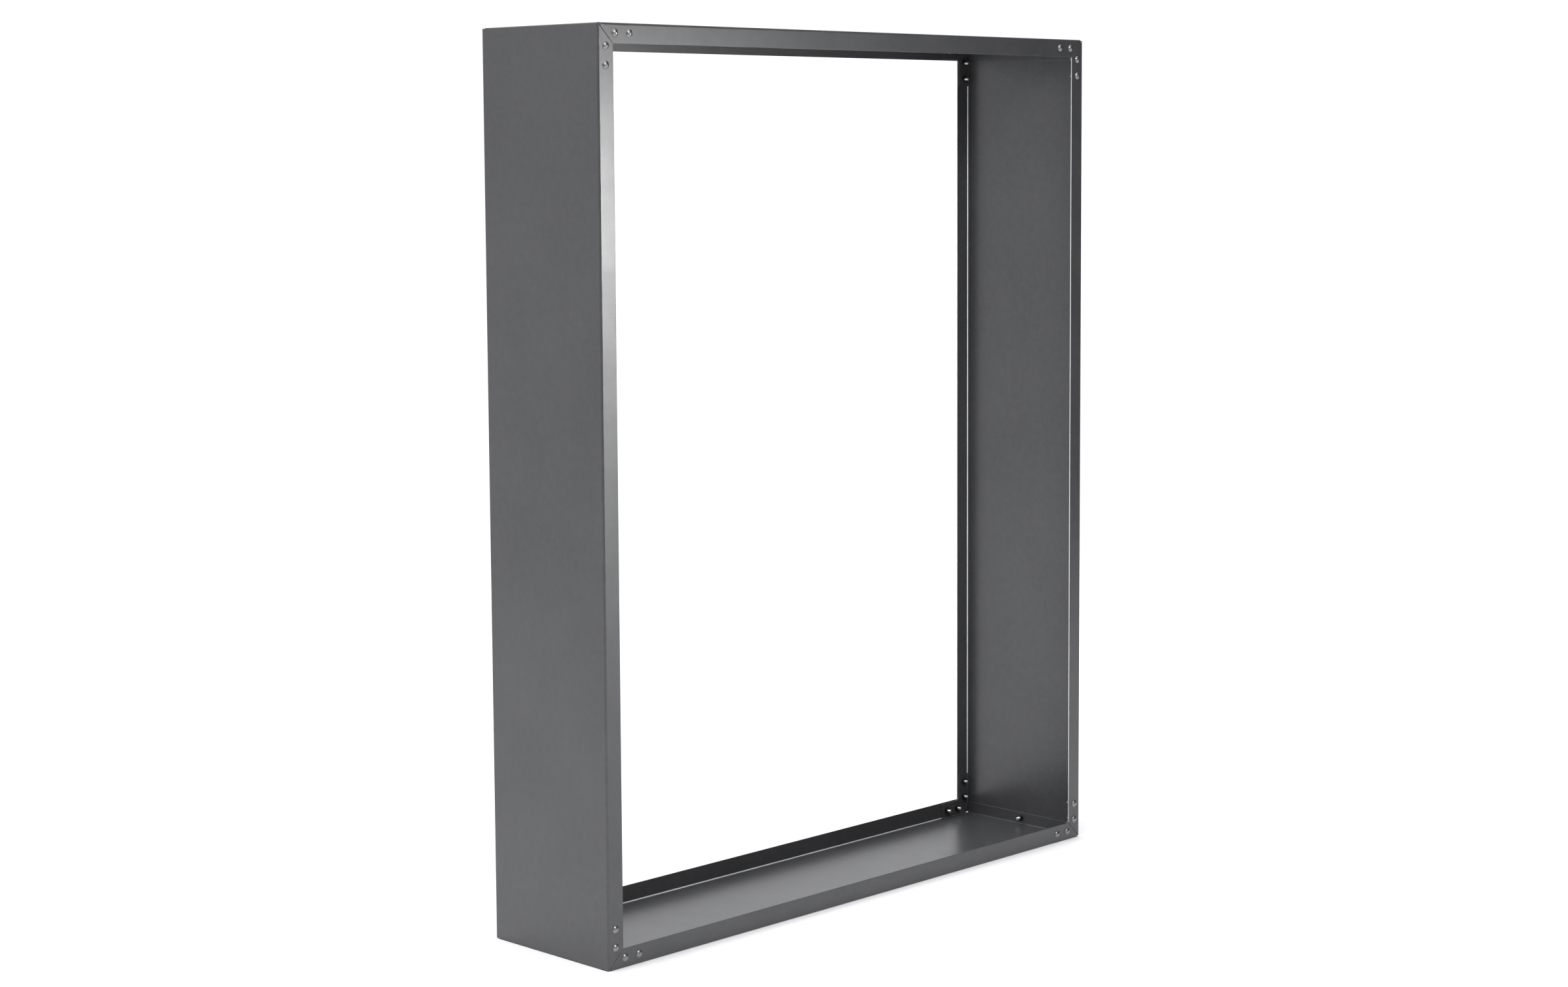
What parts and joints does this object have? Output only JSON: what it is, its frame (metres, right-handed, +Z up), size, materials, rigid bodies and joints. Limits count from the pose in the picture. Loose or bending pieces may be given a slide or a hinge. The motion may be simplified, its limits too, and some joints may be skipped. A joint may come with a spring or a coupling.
{
  "type": "firewood log rack",
  "caption": "Tall open frame of four bent-sheet channels with mitred corners, corner plates and domed bolts, for stacking split logs upright against a wall.",
  "frame": {"origin": "centre of the rack's footprint, on the surface that it stands on", "axes": "+X to the rack's right seen from the front, +Y to the rear, +Z up; the open front faces -Y"},
  "size_m": [1.2, 0.2878, 1.5],
  "materials": {
    "powder_coat": "satin anthracite powder coat on bent steel sheet, with fine orange peel",
    "bolt_coat": "satin anthracite coated domed bolt heads",
    "zinc": "bright zinc plated studs, threads and nuts"
  },
  "bodies": {
    "root": {"left_side_panel": "powder_coat", "right_side_panel": "powder_coat", "bottom_panel": "powder_coat", "top_panel": "powder_coat", "front_bottom_left_corner_plate": "powder_coat", "front_bottom_right_corner_plate": "powder_coat", "front_top_left_corner_plate": "powder_coat", "front_top_right_corner_plate": "powder_coat", "rear_bottom_left_corner_plate": "powder_coat", "rear_bottom_right_corner_plate": "powder_coat", "rear_top_left_corner_plate": "powder_coat", "rear_top_right_corner_plate": "powder_coat", "front_bottom_left_bolt_1": "bolt_coat", "front_bottom_left_bolt_2": "bolt_coat", "front_bottom_left_bolt_3": "bolt_coat", "front_bottom_left_bolt_4": "bolt_coat", "front_bottom_right_bolt_1": "bolt_coat", "front_bottom_right_bolt_2": "bolt_coat", "front_bottom_right_bolt_3": "bolt_coat", "front_bottom_right_bolt_4": "bolt_coat", "front_top_left_bolt_1": "bolt_coat", "front_top_left_bolt_2": "bolt_coat", "front_top_left_bolt_3": "bolt_coat", "front_top_left_bolt_4": "bolt_coat", "front_top_right_bolt_1": "bolt_coat", "front_top_right_bolt_2": "bolt_coat", "front_top_right_bolt_3": "bolt_coat", "front_top_right_bolt_4": "bolt_coat", "rear_bottom_left_bolt_1": "bolt_coat", "rear_bottom_left_bolt_2": "bolt_coat", "rear_bottom_left_bolt_3": "bolt_coat", "rear_bottom_left_bolt_4": "bolt_coat", "rear_bottom_right_bolt_1": "bolt_coat", "rear_bottom_right_bolt_2": "bolt_coat", "rear_bottom_right_bolt_3": "bolt_coat", "rear_bottom_right_bolt_4": "bolt_coat", "rear_top_left_bolt_1": "bolt_coat", "rear_top_left_bolt_2": "bolt_coat", "rear_top_left_bolt_3": "bolt_coat", "rear_top_left_bolt_4": "bolt_coat", "rear_top_right_bolt_1": "bolt_coat", "rear_top_right_bolt_2": "bolt_coat", "rear_top_right_bolt_3": "bolt_coat", "rear_top_right_bolt_4": "bolt_coat", "left_bottom_tab_stud": "zinc", "left_bottom_tab_nut": "zinc", "left_top_tab_stud": "zinc", "left_top_tab_nut": "zinc", "right_bottom_tab_stud": "zinc", "right_bottom_tab_nut": "zinc", "right_top_tab_stud": "zinc", "right_top_tab_nut": "zinc"}
  },
  "joints": []
}
